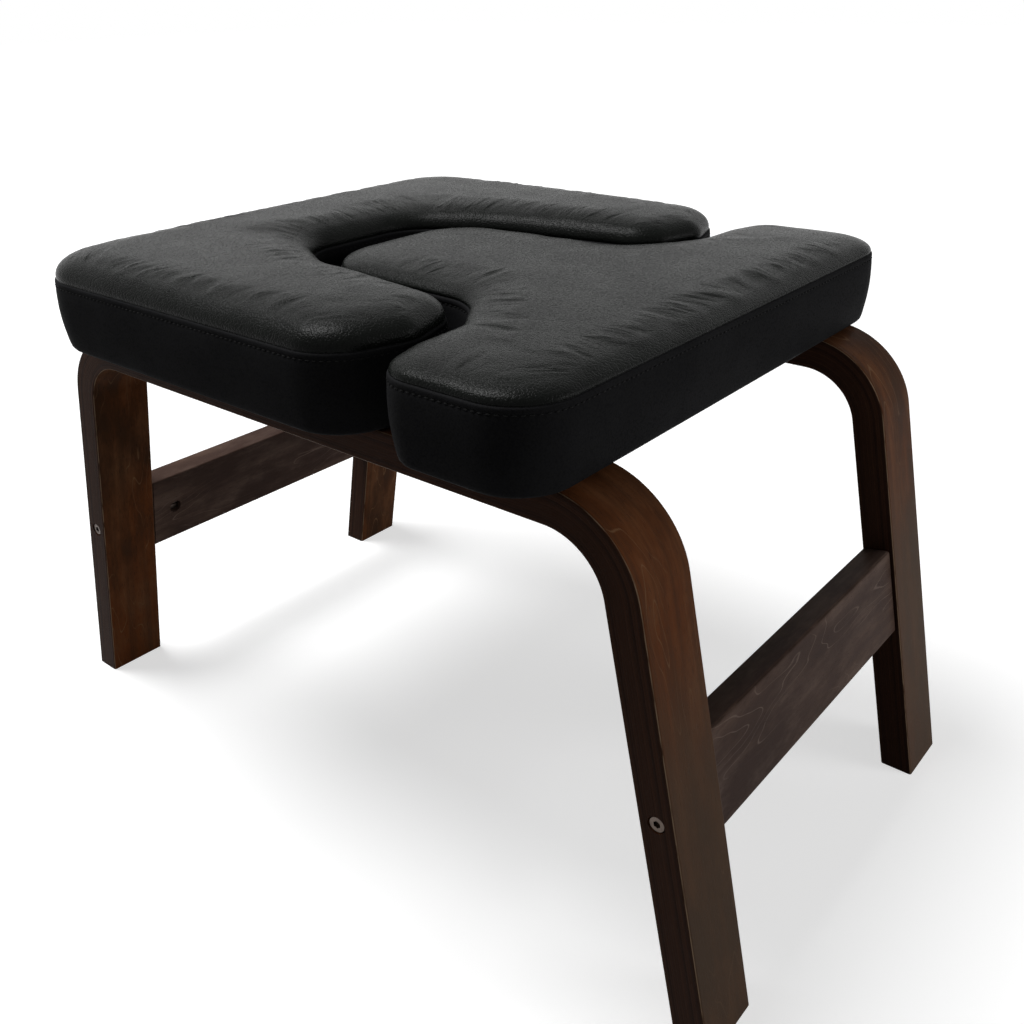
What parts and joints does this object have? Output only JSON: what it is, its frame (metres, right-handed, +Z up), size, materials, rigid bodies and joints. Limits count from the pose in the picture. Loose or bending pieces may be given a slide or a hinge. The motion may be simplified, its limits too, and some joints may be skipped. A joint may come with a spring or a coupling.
{
  "type": "yoga headstand stool",
  "caption": "Low stool of bent wood with a C-shaped shoulder pad and a T-shaped seat insert that lifts out, for headstands and sitting.",
  "frame": {"origin": "on the floor, under the middle of the two frames", "axes": "+Z up, +X along the stool from the shoulder pad to the seat insert, +Y from the front frame to the back frame"},
  "size_m": [0.618, 0.408, 0.3859],
  "materials": {
    "stained_wood": "dark walnut stain with a satin clear coat over bent, laminated veneer",
    "rail_wood": "dark brown stain with a satin clear coat on a straight board",
    "raw_beech": "plain, unfinished",
    "raw_plywood": "plain, unfinished",
    "zinc_steel": "bright zinc plating",
    "black_leather": "semi-matt, fine grain, stitched beside the seam",
    "foam_rubber": "matt, open cells",
    "lining_cloth": "matt, thin"
  },
  "bodies": {
    "stool": {"front_frame": "stained_wood", "back_frame": "stained_wood", "left_rail": "rail_wood", "right_rail": "rail_wood", "rail_bolt_front_left": "zinc_steel", "barrel_nut_front_left": "zinc_steel", "upper_dowel_front_left": "raw_beech", "lower_dowel_front_left": "raw_beech", "tee_nut_front_left": "zinc_steel", "pad_washer_front_left": "zinc_steel", "pad_bolt_front_left": "zinc_steel", "rail_bolt_front_right": "zinc_steel", "barrel_nut_front_right": "zinc_steel", "upper_dowel_front_right": "raw_beech", "lower_dowel_front_right": "raw_beech", "tee_nut_front_right": "zinc_steel", "pad_washer_front_right": "zinc_steel", "pad_bolt_front_right": "zinc_steel", "rail_bolt_back_left": "zinc_steel", "barrel_nut_back_left": "zinc_steel", "upper_dowel_back_left": "raw_beech", "lower_dowel_back_left": "raw_beech", "tee_nut_back_left": "zinc_steel", "pad_washer_back_left": "zinc_steel", "pad_bolt_back_left": "zinc_steel", "rail_bolt_back_right": "zinc_steel", "barrel_nut_back_right": "zinc_steel", "upper_dowel_back_right": "raw_beech", "lower_dowel_back_right": "raw_beech", "tee_nut_back_right": "zinc_steel", "pad_washer_back_right": "zinc_steel", "pad_bolt_back_right": "zinc_steel", "shoulder_cover_top": "black_leather", "shoulder_cover_side": "black_leather", "shoulder_foam": "foam_rubber", "shoulder_dust_cloth": "lining_cloth", "shoulder_board": "raw_plywood"},
    "seat_insert": {"insert_peg_front_left": "raw_beech", "insert_peg_front_right": "raw_beech", "insert_peg_back_left": "raw_beech", "insert_peg_back_right": "raw_beech", "insert_cover_top": "black_leather", "insert_cover_side": "black_leather", "insert_foam": "foam_rubber", "insert_dust_cloth": "lining_cloth", "insert_board": "raw_plywood"}
  },
  "joints": [
    {"name": "seat_insert_lift", "type": "slide", "parent": "stool", "child": "seat_insert", "axis": [0, 0, 1], "range_m": [0, 0.12]}
  ]
}
